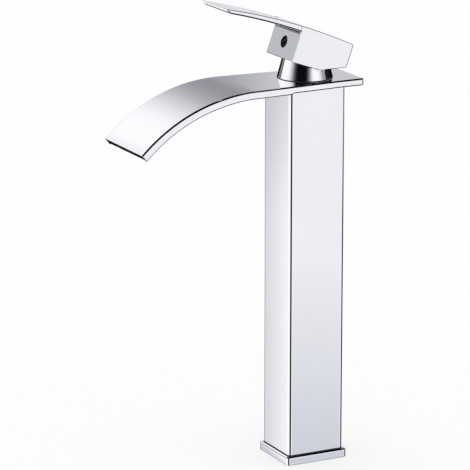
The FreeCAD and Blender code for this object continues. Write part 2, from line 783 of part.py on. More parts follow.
def make_discs():
    """Two lapped ceramic discs: the fixed one with ports, the moving one with a mixing recess."""
    fixed = body("fixed_disc")
    pad(fixed, circle(sketch_on(fixed, "XY_Plane", "base_top"), "fixed_disc_radius"),
        "fixed_disc_thick")
    pocket(fixed, ports(sketch_on(fixed, "XY_Plane", "fixed_top"), "port_radius"),
           "fixed_disc_thick")
    moving = body("moving_disc")
    pad(moving, circle(sketch_on(moving, "XY_Plane", "moving_foot"), "moving_disc_radius"),
        "moving_disc_thick")
    pocket(moving, circle(sketch_on(moving, "XY_Plane", "moving_foot"), "moving_disc_recess"),
           "moving_disc_thick / 2", backwards=True)
    place(moving, y="disc_shift")


def make_disc_carrier():
    """Plastic carrier on the moving disc, with the slot that the stem's ball works in."""
    carrier = body("disc_carrier")
    pad(carrier, circle(sketch_on(carrier, "XY_Plane", "moving_top"), "moving_disc_radius"),
        "carrier_thick")
    slot = sketch_on(carrier, "XY_Plane", "carrier_top")
    block(slot, "stem_slot + stem_gap", "ball_radius + guide_gap + slip_fit", "0",
          "-carrier_offset")
    pocket(carrier, slot, "ball_sink + ball_radius + guide_gap")
    place(carrier, y="disc_shift")


def make_stem_guide():
    """Turning guide: cheeks steer the carrier, the collar holds the stem on its pin."""
    guide = turned("stem_guide", [
        ("0", "guide_foot"), ("guide_radius", "guide_foot"), ("guide_radius", "guide_top"),
        ("collar_radius", "guide_top"), ("collar_radius", "collar_top"), ("0", "collar_top")])
    track = block(sketch_on(guide, "XY_Plane", "guide_foot"),
                  "moving_disc_radius + guide_gap", "housing_bore")
    pocket(guide, track, "guide_under - guide_foot", backwards=True)
    slot = block(sketch_on(guide, "XY_Plane", "collar_top"), "stem_slot",
                 "(slot_front + slot_rear) / 2", "0", "(slot_rear - slot_front) / 2")
    pocket(guide, slot, "collar_top - guide_under")
    hole = circle(sketch_on(guide, "YZ_Plane"), "pin_radius + slip_fit / 2", "0", "pivot")
    pocket(guide, hole, "4 * collar_radius", symmetric=True)
    pin = doc.addObject("Part::Cylinder", "stem_pin_body")
    bind(pin, "Radius", "pin_radius")
    bind(pin, "Height", "pin_length")
    pin.Placement = Placement(Vector(), Rotation(Vector(0, 1, 0), 90))
    place(pin, "-pin_length / 2", "0", "pivot")
    keep(pin, "stem_pin")


def make_stem():
    """Square brass stem on the pin; the ball on its lower end drives the disc carrier."""
    stem = body("stem")
    shank = outline(sketch_on(stem, "YZ_Plane"), [
        ("-stem_half", "-stem_shoulder"), ("-stem_blade / 2", "-stem_shoulder"),
        ("-stem_blade / 2", "-ball_drop"), ("stem_blade / 2", "-ball_drop"),
        ("stem_blade / 2", "-stem_shoulder"), ("stem_half", "-stem_shoulder"),
        ("stem_half", "stem_top"), ("-stem_half", "stem_top")])
    pad(stem, shank, "stem_side", symmetric=True)
    ball = circle(sketch_on(stem, "YZ_Plane"), "ball_radius", "0", "-ball_drop")
    pad(stem, ball, "stem_side", symmetric=True)
    hole = circle(sketch_on(stem, "YZ_Plane"), "pin_radius + slip_fit")
    pocket(stem, hole, "2 * stem_side", symmetric=True)
    lean(stem)


# ---------------------------------------------------------------- lever
def make_handle():
    """Cast lever: a block hollowed over the bonnet, a crowned paddle and a boss for the stem.
    It is drawn closed about the pivot, then leaned back to its raised place."""
    handle = body("handle")
    heel = "lever_skirt + heel_radius * (1 - cos(lever_raise))"
    heel_end = "heel_radius * sin(lever_raise) - heel_start"
    side = outline(sketch_on(handle, "YZ_Plane"), [
        ("-lever_front", "lever_skirt"), ("-heel_start", "lever_skirt", "heel_radius"),
        (heel_end, heel),
        ("lever_rear", f"{heel} + (lever_rear - ({heel_end})) * tan(lever_raise)"),
        ("lever_rear", "lever_top", "lever_crown"), ("-lever_reach", "lever_tip_top"),
        ("lever_tip_rake - lever_reach", "lever_tip_top - lever_tip_thick", "-lever_crown"),
        ("-lever_front - paddle_fillet", "paddle_under", "-paddle_fillet"),
        ("-lever_front", "paddle_under - paddle_fillet")])
    pad(handle, side, "2 * lever_half", symmetric=True)
    inner_front, inner_rear = "lever_front - lever_end_wall", "lever_rear - lever_end_wall"
    boss, pad_back = "boss_width / 2", "lever_front - screw_pad"
    cavity = outline(sketch_on(handle, "XY_Plane"), [
        ("-skirt_reach", f"-({inner_front})"), (f"-{boss}", f"-({inner_front})"),
        (f"-{boss}", "boss_behind"), (boss, "boss_behind"), (boss, f"-({inner_front})"),
        ("skirt_reach", f"-({inner_front})"), ("skirt_reach", inner_rear),
        ("-skirt_reach", inner_rear)])
    pocket(handle, cavity, "cavity_roof", backwards=True)
    under_boss = block(sketch_on(handle, "XY_Plane"), boss, f"({pad_back} + boss_behind) / 2",
                       "0", f"(boss_behind - ({pad_back})) / 2")
    pocket(handle, under_boss, "boss_floor", backwards=True)
    under_pad = block(sketch_on(handle, "XY_Plane"), boss, f"({inner_front} - ({pad_back})) / 2",
                      "0", f"-({inner_front} + {pad_back}) / 2")
    pocket(handle, under_pad, "screw_pad_floor", backwards=True)
    socket = block(sketch_on(handle, "XY_Plane"), "stem_half + slip_fit", "stem_half + slip_fit")
    pocket(handle, socket, "stem_top + stem_gap", backwards=True)
    thread = circle(sketch_on(handle, "XZ_Plane", "lever_front"), "screw_radius + slip_fit",
                    "0", "screw_rise")
    pocket(handle, thread, "lever_front - stem_half")
    recess = circle(sketch_on(handle, "XZ_Plane", "lever_front"), "screw_recess_radius",
                    "0", "screw_rise")
    pocket(handle, recess, "screw_recess")
    lean(handle)


def make_handle_screw():
    """Socket set screw that presses the lever's boss on the stem."""
    screw = turned("handle_set_screw", [
        ("0", "0"), ("screw_radius", "0"), ("screw_radius", "screw_length"),
        ("0", "screw_length")])
    hexagon_socket(screw, "screw_hex", "screw_hex", backwards=False, offset="screw_length")
    screw.Placement = Placement(Vector(), Rotation(Vector(1, 0, 0), 90 - SIZES["lever_raise"]))
    bind(screw, "Placement.Rotation.Angle", "90 - lever_raise")
    tip = "(stem_half + slip_fit)"
    place(screw, y=f"screw_rise * sin(lever_raise) - {tip} * cos(lever_raise)",
          z=f"pivot + screw_rise * cos(lever_raise) + {tip} * sin(lever_raise)")


# ---------------------------------------------------------------- fixing below the deck
def make_stud():
    """Threaded stud from the base block down through the deck."""
    stud = turned("fixing_stud", [
        ("0", "0"), ("stud_radius - stud_edge", "0"), ("stud_radius", "stud_edge"),
        ("stud_radius", "stud_length"), ("0", "stud_length")])
    place(stud, "0", "stud_back", "foot_height + stud_depth - stud_length")


def make_saddles():
    """Horseshoe rubber and plate that span the deck hole from below, open for the hoses."""
    layers = (("horseshoe_gasket", "saddle_rubber", "deck_under - saddle_rubber"),
              ("horseshoe_plate", "saddle_plate", "saddle_under"))
    for label, thick, level in layers:
        saddle = body(label)
        pad(saddle, circle(sketch_on(saddle, "XY_Plane"), "saddle_radius"), thick)
        inner = "port_front - window_width / 2"
        slot = block(sketch_on(saddle, "XY_Plane"), "saddle_slot / 2",
                     f"(saddle_radius - ({inner})) / 2", "0", f"-(saddle_radius + {inner}) / 2")
        pocket(saddle, slot, thick, backwards=True)
        hole = circle(sketch_on(saddle, "XY_Plane"), "stud_radius + guide_gap", "0", "stud_back")
        pocket(saddle, hole, thick, backwards=True)
        place(saddle, z=level)


def make_fixing_nut():
    """Hexagon nut on the stud that draws the saddle up against the deck."""
    nut = body("fixing_nut")
    outside = hexagon(sketch_on(nut, "XY_Plane"), "fixing_nut_flat")
    circle(outside, "stud_radius + slip_fit")
    pad(nut, outside, "fixing_nut_height")
    place(nut, "0", "stud_back", "saddle_under - fixing_nut_height")


make_foot()
make_foot_gasket()
make_column()
make_base_block()
make_base_screws()
make_risers()
make_valve_body()
make_valve_gasket()
make_spout()
make_clamp_ring()
make_bonnet()
make_retaining_nut()
make_cartridge_base()
make_cartridge_housing()
make_discs()
make_disc_carrier()
make_stem_guide()
make_stem()
make_handle()
make_handle_screw()
make_stud()
make_saddles()
make_fixing_nut()
doc.recompute()

for thing in doc.Objects:
    if {"Invalid", "Error"} & set(thing.State):
        raise RuntimeError(f"{thing.Label} failed: {thing.State}")
for thing in parts:
    if thing.Shape.isNull() or not thing.Shape.isValid() or not thing.Shape.Solids:
        raise RuntimeError(f"{thing.Label} has no sound solid")

os.makedirs("parts", exist_ok=True)
for thing in parts:
    thing.Shape.exportStep(f"parts/{thing.Label}.step")
    print(f"{thing.Label}: {len(thing.Shape.Solids)} solid(s), {thing.Shape.Volume:.1f} mm3")
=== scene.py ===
import bmesh
import bpy
from math import asin, cos, pi, radians, sin, tan
from mathutils import Matrix, Vector


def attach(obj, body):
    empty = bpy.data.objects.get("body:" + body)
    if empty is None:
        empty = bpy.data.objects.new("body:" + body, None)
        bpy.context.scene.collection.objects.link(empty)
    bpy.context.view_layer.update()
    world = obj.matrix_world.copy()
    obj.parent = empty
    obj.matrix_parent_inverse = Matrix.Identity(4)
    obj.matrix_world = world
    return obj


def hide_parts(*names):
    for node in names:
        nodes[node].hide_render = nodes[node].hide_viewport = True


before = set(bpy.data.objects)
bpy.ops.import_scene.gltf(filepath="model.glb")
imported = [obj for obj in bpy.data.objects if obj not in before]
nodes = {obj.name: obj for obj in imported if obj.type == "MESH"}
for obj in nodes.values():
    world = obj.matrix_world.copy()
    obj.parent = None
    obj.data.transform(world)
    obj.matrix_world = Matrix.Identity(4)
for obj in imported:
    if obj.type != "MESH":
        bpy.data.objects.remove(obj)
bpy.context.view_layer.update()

# ---------------------------------------------------------------- camera
# The tap is seen from its right and a little from the front, from above the spout.
# A long lens stands two metres off, so the column's sides stay nearly upright.
view_azimuth = radians(63.05)
view_rise = radians(14.79)
camera_place = (1.8249, -0.9803, 0.7024)
picture_width = 470
lens_pixels = 3155
film_width = 36

camera = bpy.data.objects.new("camera", bpy.data.cameras.new("camera"))
bpy.context.scene.collection.objects.link(camera)
bpy.context.scene.camera = camera
towards_camera = Vector((sin(view_azimuth) * cos(view_rise),
                         -cos(view_azimuth) * cos(view_rise), sin(view_rise)))
camera.rotation_mode = "QUATERNION"
camera.rotation_quaternion = towards_camera.to_track_quat("Z", "Y")
camera.location = camera_place
camera.data.sensor_width = film_width
camera.data.lens = film_width * lens_pixels / picture_width
camera.data.clip_start = 0.1
camera.data.clip_end = 50
bpy.context.scene.view_settings.view_transform = "Standard"


# ---------------------------------------------------------------- studio
# A white sweep all round lights the tap evenly. Only polished metal sees what hangs in it:
# greys round the horizon, and black, grey and pale cards placed by turn and height.
def add_node(tree, kind, **settings):
    node = tree.nodes.new(kind)
    for name, setting in settings.items():
        setattr(node, name, setting)
    return node


def mix_colours(tree, share, low, high):
    """A mix of two colours by a value output; returns its result. Each is an output or a colour."""
    mix = add_node(tree, "ShaderNodeMix", data_type="RGBA", clamp_factor=True)
    tree.links.new(share, mix.inputs["Factor"])
    for socket, tone in (("A", low), ("B", high)):
        if isinstance(tone, tuple):
            mix.inputs[socket].default_value = (*tone, 1)
        else:
            tree.links.new(tone, mix.inputs[socket])
    return mix.outputs["Result"]


def level(tree, source, low, high, start=0.0, end=1.0):
    """A straight run from start at low to end at high, level beyond both."""
    step = add_node(tree, "ShaderNodeMapRange")
    tree.links.new(source, step.inputs["Value"])
    step.inputs["From Min"].default_value = low
    step.inputs["From Max"].default_value = high
    step.inputs["To Min"].default_value = start
    step.inputs["To Max"].default_value = end
    return step.outputs["Result"]


def part_turn(degrees):
    """Degrees round the studio from the camera's side, as a share of the whole turn."""
    return degrees / 360 + 0.5


def ring_of_greys(tree, turn, stops):
    """Greys round the horizon: (degrees from the camera's side, brightness). The darker
    they are, the bluer."""
    ramp = add_node(tree, "ShaderNodeValToRGB")
    tree.links.new(turn, ramp.inputs["Fac"])
    elements = ramp.color_ramp.elements
    while len(elements) < len(stops):
        elements.new(0.5)
    for element, (degrees, grey) in zip(elements, stops):
        element.position = part_turn(degrees)
        blue = 0.015 + 0.05 * (1 - grey)
        element.color = (grey * (1 - blue), grey * (1 - blue / 2),
                         min(grey * (1 + 1.4 * blue), 1), 1)
    return ramp.outputs["Color"]


def eased_climb(start, low, end, high, steps=6):
    """Stops of a grey that climbs from low to high and is slow at both ends."""
    runs = [step / steps for step in range(steps + 1)]
    return [(start + (end - start) * run, low + (high - low) * run * run * (3 - 2 * run))
            for run in runs]


def hang_card(tree, seen, tone, turns, heights):
    """A card in front of what is seen. Its four turns and four heights are where it starts,
    is full, is still full and ends."""
    sides = []
    for source, (start, full, still, end) in ((turn, [part_turn(t) for t in turns]),
                                              (height, heights)):
        sides += [level(tree, source, start, full), level(tree, source, still, end, 1, 0)]
    share = sides[0]
    for side in sides[1:]:
        both = add_node(tree, "ShaderNodeMath", operation="MULTIPLY")
        tree.links.new(share, both.inputs[0])
        tree.links.new(side, both.inputs[1])
        share = both.outputs["Value"]
    return mix_colours(tree, share, seen, tone)


world = bpy.data.worlds.new("studio")
bpy.context.scene.world = world
world.use_nodes = True
tree = world.node_tree
tree.nodes.clear()
direction = add_node(tree, "ShaderNodeTexCoord").outputs["Generated"]
turned = add_node(tree, "ShaderNodeMapping", vector_type="VECTOR")
turned.inputs["Rotation"].default_value = (0, 0, pi / 2 - view_azimuth)
tree.links.new(direction, turned.inputs["Vector"])
turn = add_node(tree, "ShaderNodeTexGradient", gradient_type="RADIAL")
tree.links.new(turned.outputs["Vector"], turn.inputs["Vector"])
turn = turn.outputs["Fac"]
split = add_node(tree, "ShaderNodeSeparateXYZ")
tree.links.new(direction, split.inputs["Vector"])
height = split.outputs["Z"]

horizon_blend = 0.03
low_ring = ring_of_greys(tree, turn, [
    (-180, 0.35), (-176, 0.2), (-170, 0.004), (-141, 0.004), (-134, 0.2), (-129, 0.6),
    (-124, 1), (-30, 1), (-27, 0.004), (19.5, 0.004), (23, 1), (30, 0.90), (56.3, 0.885),
    (62, 0.885), (64.5, 1), (76, 1), (80, 0.004), (147, 0.004), (157, 0.6), (166, 0.8),
    (176, 0.74), (180, 0.78)])
high_ring = ring_of_greys(tree, turn, [
    (-180, 0.4), *eased_climb(-177, 0.3, -150, 1),
    (-142, 1), (-139, 0.90), (-132, 1), (-87, 1), (-73, 0.88), (-60, 0.48), (-48, 0.10),
    (-38, 0.012), (-30, 0.003), (4, 0.003), (13, 0.17), (19, 0.43), (25, 0.62), (36, 0.93),
    (45, 1), (62, 0.93), (75, 0.57), (88, 0.17), (98, 0.012), (172, 0.004), (176, 0.58),
    (180, 0.60)])
seen = mix_colours(tree, level(tree, height, -horizon_blend, horizon_blend), low_ring, high_ring)

black = (0.003, 0.003, 0.004)
white = (1.0, 1.0, 1.0)
floor_pale = (0.86, 0.87, 0.90)
all_round = (-181, -180, 180, 181)
front_panel = mix_colours(tree, level(tree, turn, part_turn(-125.75), part_turn(-125.0)),
                          (0.555, 0.57, 0.625), white)
for tone, turns, heights in (
        # the sweep behind falls off towards the left, where the plate's front shows it
        ((0.395, 0.408, 0.44), (179.2, 180, 180, 181), (0.1, 0.12, 0.5, 0.6)),
        # a pale front panel, lighter towards the camera and shaded at its top
        (front_panel, (-126.8, -126.3, -124.4, -123), (-0.6, -0.5, -0.19, -0.17)),
        ((0.40, 0.41, 0.44), (-130, -128, -124.6, -123.5), (-0.25, -0.15, -0.15, -0.1)),
        # a grey card that the lever's block shows
        ((0.505, 0.515, 0.555), (-142, -134, -116, -110), (0.085, 0.115, 0.2, 0.26)),
        # the back wall, paler upwards, and the black one beside it that the bonnet's edge shows
        ((0.86, 0.87, 0.89), (88, 96, 122, 128), (-0.25, -0.16, -0.135, -0.112)),
        (black, (120, 130, 172, 175), (-0.2, -0.18, 0, 0.03)),
        # black and dark grey flags, the first for the lever's fillet
        (black, (-165, -158, -112, -106), (-0.2, -0.18, -0.05, -0.02)),
        (black, (-165, -158, -127.2, -126.6), (-0.5, -0.45, -0.29, -0.27)),
        ((0.2, 0.2, 0.21), (-141, -137, -119, -116), (-0.06, -0.03, 0.09, 0.11)),
        (black, (-176, -172, -145, -140), (-0.1, -0.05, 0.2, 0.28)),
        # a black flag over the right side's window, and a grey one under the horizon
        (black, (-30, -24, 125, 140), (0.285, 0.31, 0.9, 1)),
        ((0.60, 0.62, 0.69), (40, 46, 57, 60), (-0.5, -0.327, -0.327, -0.262)),
        # black overhead and below
        (black, all_round, (0.51, 0.58, 1.1, 1.2)),
        (black, all_round, (-1.2, -1.1, -0.46, -0.36)),
        # pale cards that mostly show from higher up: two above the horizon, two on the floor
        ((0.80, 0.815, 0.85), (84, 94, 144, 152), (0.13, 0.17, 0.26, 0.31)),
        ((0.93, 0.935, 0.95), (-156, -146, -60, -45), (0.5, 0.54, 0.58, 0.66)),
        (floor_pale, (-119, -110, -34, -30), (-1.2, -1.1, -0.4, -0.33)),
        (floor_pale, (-28, -22, 12, 19), (-0.66, -0.6, -0.42, -0.36)),
        # a pale patch that the spout's underside shows, and a strip for the paddle's end
        ((0.90, 0.905, 0.92), (-125, -110, -45, -30), (-1.2, -1.1, -0.72, -0.6)),
        (white, (-160.5, -159, -152, -149), (-0.57, -0.53, -0.455, -0.445))):
    seen = hang_card(tree, seen, tone, turns, heights)

path = add_node(tree, "ShaderNodeLightPath")
colour = mix_colours(tree, path.outputs["Is Glossy Ray"], white, seen)
light = add_node(tree, "ShaderNodeBackground")
tree.links.new(colour, light.inputs["Color"])
light.inputs["Strength"].default_value = 1
tree.links.new(light.outputs["Background"],
               add_node(tree, "ShaderNodeOutputWorld").inputs["Surface"])


# ---------------------------------------------------------------- deck
# The pale deck that the tap stands on. It is white to the camera and keeps a soft shadow.
# Polished metal looks through it at the studio.
def make_piece(name, bm, body=None):
    """An object at the origin from a bmesh, on a body of the tap unless it is stage."""
    mesh = bpy.data.meshes.new(name)
    bm.to_mesh(mesh)
    bm.free()
    piece = bpy.data.objects.new(name, mesh)
    bpy.context.scene.collection.objects.link(piece)
    if body:
        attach(piece, body)
    return piece


def new_material(name):
    material = bpy.data.materials.new(name)
    material.use_nodes = True
    material.node_tree.nodes.clear()
    return material, material.node_tree


deck_half = 6
deck_sink = 0.0001
deck_glow = 0.7

bm = bmesh.new()
bmesh.ops.create_grid(bm, x_segments=4, y_segments=4, size=deck_half)
bmesh.ops.translate(bm, vec=(0, 0, -deck_sink), verts=bm.verts)
deck = make_piece("deck", bm)
material, tree = new_material("pale_deck")
deck.data.materials.append(material)
path = add_node(tree, "ShaderNodeLightPath")
paint = add_node(tree, "ShaderNodeBsdfDiffuse")
paint.inputs["Color"].default_value = (0.97, 0.97, 0.97, 1)
glow = add_node(tree, "ShaderNodeEmission")
glow.inputs["Color"].default_value = (1, 1, 1, 1)
shadow = add_node(tree, "ShaderNodeMixShader")
shadow.inputs["Fac"].default_value = deck_glow
tree.links.new(paint.outputs["BSDF"], shadow.inputs[1])
tree.links.new(glow.outputs["Emission"], shadow.inputs[2])
lit = add_node(tree, "ShaderNodeMixShader")
tree.links.new(path.outputs["Is Camera Ray"], lit.inputs["Fac"])
tree.links.new(paint.outputs["BSDF"], lit.inputs[1])
tree.links.new(shadow.outputs["Shader"], lit.inputs[2])
clear = add_node(tree, "ShaderNodeBsdfTransparent")
through = add_node(tree, "ShaderNodeMixShader")
tree.links.new(path.outputs["Is Glossy Ray"], through.inputs["Fac"])
tree.links.new(lit.outputs["Shader"], through.inputs[1])
tree.links.new(clear.outputs["BSDF"], through.inputs[2])
tree.links.new(through.outputs["Shader"],
               add_node(tree, "ShaderNodeOutputMaterial").inputs["Surface"])


# ---------------------------------------------------------------- foot
# Cast brass plate, eased on its outer edges, polished and chrome plated. The column is
# brazed on it, and a rubber frame in its underside seals it to the deck.
def noise(tree, scale, detail, stretch=(1, 1, 1)):
    """Noise on the object's own coordinates, in metres."""
    coordinates = add_node(tree, "ShaderNodeTexCoord")
    mapping = add_node(tree, "ShaderNodeMapping")
    mapping.inputs["Scale"].default_value = stretch
    tree.links.new(coordinates.outputs["Object"], mapping.inputs["Vector"])
    texture = add_node(tree, "ShaderNodeTexNoise")
    texture.inputs["Scale"].default_value = scale
    texture.inputs["Detail"].default_value = detail
    tree.links.new(mapping.outputs["Vector"], texture.inputs["Vector"])
    return texture.outputs["Fac"]


def new_finish(name, tones, mottle, roughness, wear, relief, grain, **settings):
    """A finish of two tones in a mottle, with roughness that varies with wear, and grain in
    low relief. A pattern is (scale, detail) or (scale, detail, stretch), the relief is its
    depth and strength, and the settings name the surface's sockets."""
    material, tree = new_material(name)
    shader = add_node(tree, "ShaderNodeBsdfPrincipled")
    for socket, setting in settings.items():
        shader.inputs[socket].default_value = setting
    ramp = add_node(tree, "ShaderNodeValToRGB")
    tree.links.new(noise(tree, *mottle), ramp.inputs["Fac"])
    for element, position, tone in zip(ramp.color_ramp.elements, (0.3, 0.7), tones):
        element.position = position
        element.color = (*tone, 1)
    tree.links.new(ramp.outputs["Color"], shader.inputs["Base Color"])
    tree.links.new(level(tree, noise(tree, *wear), 0.35, 0.65, *roughness),
                   shader.inputs["Roughness"])
    bump = add_node(tree, "ShaderNodeBump")
    bump.inputs["Distance"].default_value, bump.inputs["Strength"].default_value = relief
    tree.links.new(noise(tree, *grain), bump.inputs["Height"])
    tree.links.new(bump.outputs["Normal"], shader.inputs["Normal"])
    tree.links.new(shader.outputs["BSDF"],
                   add_node(tree, "ShaderNodeOutputMaterial").inputs["Surface"])
    return material


def finish_nodes(material, *names):
    """CAD pieces whose shape is right take the finished material."""
    for name in names:
        nodes[name].material_slots[0].material = material


def smooth(piece, angle=35):
    """Round edges shade round and flat faces stay flat."""
    for face in piece.data.polygons:
        face.use_smooth = True
    piece.data.set_sharp_from_angle(angle=radians(angle))
    weights = piece.modifiers.new("even_shading", "WEIGHTED_NORMAL")
    weights.keep_sharp = True


def merged_copy(name):
    """A copy of a CAD piece with its triangles joined up and its flat faces whole."""
    bm = bmesh.new()
    bm.from_mesh(nodes[name].data)
    bmesh.ops.remove_doubles(bm, verts=bm.verts, dist=1e-6)
    bmesh.ops.dissolve_limit(bm, angle_limit=radians(0.25), verts=bm.verts, edges=bm.edges)
    return bm


def sharp_edges(bm, wanted, least=0.7):
    """Edges sharper than least radians that pass the test."""
    return [edge for edge in bm.edges if edge.calc_face_angle(0) > least and wanted(edge)]


def rounded(bm, corners, radius, segments, affect="EDGES"):
    bmesh.ops.bevel(bm, geom=corners, offset=radius, offset_type="OFFSET", affect=affect,
                    segments=segments, profile=0.5, material=-1)


chrome = new_finish("chrome_plate", ((0.965, 0.967, 0.972), (0.985, 0.986, 0.988)),
                    mottle=(35, 3), roughness=(0.015, 0.045), wear=(90, 4),
                    relief=(0.0001, 0.01), grain=(55, 1), Metallic=1.0)

foot_ease = 0.0004
foot_rim = 0.003
touching = 1e-5

bm = merged_copy("base_flange")
foot_half = [max(vert.co[axis] for vert in bm.verts) for axis in (0, 1)]


def below_rim(edge):
    """True for an edge of the foot's underside at its rim, not at the openings in it."""
    return all(vert.co.z < touching and any(abs(vert.co[axis]) > foot_half[axis] - foot_rim
                                            for axis in (0, 1)) for vert in edge.verts)


rounded(bm, sharp_edges(bm, below_rim), foot_ease, 3)
foot = make_piece("foot", bm, "faucet_body")
foot.data.materials.append(chrome)
smooth(foot)
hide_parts("base_flange")

rubber = new_finish("black_rubber", ((0.012, 0.012, 0.013), (0.03, 0.03, 0.032)),
                    mottle=(400, 3), roughness=(0.5, 0.75), wear=(900, 3),
                    relief=(0.0001, 0.3), grain=(1500, 3))
finish_nodes(rubber, "base_gasket")

# ---------------------------------------------------------------- base block
# Turned and milled brass block in the column's foot. It takes the two supply hoses,
# the stud, the riser tubes and two zinc plated screws through the foot.
brass = new_finish("machined_brass", ((0.60, 0.42, 0.17), (0.74, 0.56, 0.27)),
                   mottle=(60, 4), roughness=(0.22, 0.42), wear=(300, 4, (1, 1, 12)),
                   relief=(0.00005, 0.3), grain=(500, 2, (1, 1, 14)), Metallic=1.0)
finish_nodes(brass, "base_block")

zinc = new_finish("zinc_plated_steel", ((0.50, 0.52, 0.55), (0.68, 0.70, 0.73)),
                  mottle=(120, 4), roughness=(0.28, 0.5), wear=(350, 4),
                  relief=(0.00004, 0.3), grain=(700, 3), Metallic=1.0)
finish_nodes(zinc, "base_screws")

# ---------------------------------------------------------------- column
# Square tube drawn from brass sheet, ground flat, rounded on its long edges, polished
# and chrome plated. A black rubber bead round the joint at the foot is painted shade: it
# draws the dark line that shade and reflection make there.
finish_nodes(chrome, "column_shell")


def extruded(bm, faces, shift):
    """The faces moved on by shift, with walls behind them; returns the moved faces."""
    made = bmesh.ops.extrude_face_region(bm, geom=faces)["geom"]
    bmesh.ops.translate(bm, vec=shift, verts=[v for v in made if isinstance(v, bmesh.types.BMVert)])
    return [f for f in made if isinstance(f, bmesh.types.BMFace)]


# painted shade: a thin black bead round the column's foot, for the dark line at the joint
shade_bead_half = (0.01915, 0.02115)
shade_bead_corner = 0.0026
shade_bead_width = 0.0012
shade_bead_height = 0.00065
foot_top = 0.006

bm = bmesh.new()
bmesh.ops.create_grid(bm, x_segments=1, y_segments=1, size=1)
bmesh.ops.scale(bm, vec=(*shade_bead_half, 1), verts=bm.verts)
bmesh.ops.translate(bm, vec=(0, 0, foot_top), verts=bm.verts)
rounded(bm, bm.verts[:], shade_bead_corner, 8, "VERTICES")
bmesh.ops.inset_region(bm, faces=bm.faces[:], thickness=shade_bead_width, use_even_offset=True,
                       use_boundary=True)
bmesh.ops.delete(bm, geom=[f for f in bm.faces if len(f.verts) > 4], context="FACES")
extruded(bm, list(bm.faces), (0, 0, shade_bead_height))
bmesh.ops.recalc_face_normals(bm, faces=bm.faces)
shade_bead = make_piece("column_shade_bead", bm, "faucet_body")
shade_bead.data.materials.append(rubber)

# ---------------------------------------------------------------- risers
# Two copper tubes that carry the water up the column, each sealed by an O-ring at
# both ends.
copper = new_finish("drawn_copper", ((0.55, 0.24, 0.13), (0.80, 0.43, 0.28)),
                    mottle=(90, 4, (1, 1, 0.2)), roughness=(0.2, 0.42), wear=(250, 4),
                    relief=(0.00005, 0.3), grain=(400, 2, (1, 1, 0.1)), Metallic=1.0)
finish_nodes(copper, "hot_riser", "cold_riser")
finish_nodes(rubber, "riser_o_rings")

# ---------------------------------------------------------------- valve body
# Brass body in the column's head: the cartridge's seat and the way to the spout. A
# gasket lies on its shoulder, and a ring on its neck clamps the spout's plate.
finish_nodes(brass, "valve_body", "clamp_ring", "retaining_nut")
finish_nodes(rubber, "valve_gasket", "bonnet_o_ring")

# ---------------------------------------------------------------- spout
# One brass casting: a flat plate over the column runs into an arch that widens to the
# mouth. It is hollow under a thin roof, polished, with eased edges, and chrome plated.
plate_top = 0.2655
plate_under = 0.2607
plate_rear = 0.033
plate_corner = 0.0025
column_front = -0.021
half_back = 0.0234
half_tip = 0.0292
flare_start = 0.021
flare_end = -0.081
flare_ease = 0.012
thick_start = -0.024
arch_start = 0.0508
arch_radius = 0.119
arch_steps = 54
front_steps = 12
rear_steps = 14
spout_reach = 0.1345
spout_thick = 0.0056
spout_roof = 0.0014
spout_side = 0.002
mouth_lip = 0.0005
mouth_ease = 0.00025
top_ease = 0.00135
under_ease = 0.001
neck_hole = 0.01405
neck_cut = 0.02
cut_below = 0.002
cut_ahead = 0.03
near = 1e-4
arch_centre = Vector((0, -arch_start, plate_top - arch_radius))
arch_angle = asin((spout_reach - arch_start) / arch_radius)


def widening_at(y):
    """How much wider each side is than at the rear. The sides run straight out from the
    flare's start to its end, eased at both."""
    run = flare_start - flare_end
    ahead = min(max(flare_start - y, 0), run)
    slope = (half_tip - half_back) / (run - flare_ease)
    if ahead < flare_ease:
        return slope * ahead ** 2 / (2 * flare_ease)
    if ahead < run - flare_ease:
        return slope * (ahead - flare_ease / 2)
    return half_tip - half_back - slope * (run - ahead) ** 2 / (2 * flare_ease)


def between(start, end, steps):
    """Stops from start to end, without the start."""
    return [start + (end - start) * step / steps for step in range(1, steps + 1)]


def depth_of(spot):
    """How far a spot lies below the spout's top."""
    if spot.y > -arch_start:
        return plate_top - spot.z
    return arch_radius - (spot - arch_centre).yz.length


def middle_of(edge):
    return (edge.verts[0].co + edge.verts[1].co) / 2


def bent_bar(half, top, under, rear, stops, turn):
    """A bar from rear through the stops, bent on down the arch by turn and widened as the
    spout is; returns it and the face of its front end."""
    bm = bmesh.new()
    bmesh.ops.create_grid(bm, x_segments=1, y_segments=1, size=1)
    for vert in bm.verts:
        vert.co = (vert.co.x * half, rear, plate_top - (top if vert.co.y > 0 else under))
    front = list(bm.faces)
    for stop in stops:
        front = extruded(bm, front, (0, stop - front[0].calc_center_median().y, 0))
    ends = bmesh.ops.spin(bm, geom=[*front[0].verts, *front[0].edges, *front], cent=arch_centre,
                          axis=(1, 0, 0), angle=turn, steps=arch_steps)["geom_last"]
    within = [f for f in bm.faces if all(len(e.link_faces) > 2 for e in f.edges)]
    bmesh.ops.delete(bm, geom=within, context="FACES_ONLY")
    for vert in bm.verts:
        widening = widening_at(vert.co.y)
        vert.co.x += widening if vert.co.x > 0 else -widening
    return bm, [f for f in ends if isinstance(f, bmesh.types.BMFace)][0]


front_stops = between(thick_start, -arch_start, front_steps)
bm, mouth = bent_bar(half_back, 0, spout_thick, plate_rear,
                     [flare_start, *between(flare_start, column_front, rear_steps),
                      thick_start, *front_stops], arch_angle)
for vert in bm.verts:
    if vert.co.y > thick_start + touching and depth_of(vert.co) > plate_top - plate_under:
        vert.co.z = plate_under
along_arch = Vector((0, -cos(arch_angle), -sin(arch_angle)))
for vert in mouth.verts:
    if depth_of(vert.co) > spout_thick / 2:
        vert.co += along_arch * mouth_lip


def rear_corner(edge):
    upright = abs(edge.verts[0].co.z - edge.verts[1].co.z) > near
    return upright and middle_of(edge).y > plate_rear - touching


def under_edge(edge):
    spot = middle_of(edge)
    return (depth_of(spot) > spout_thick - touching
            or spot.y > thick_start and spot.z < plate_under + touching)


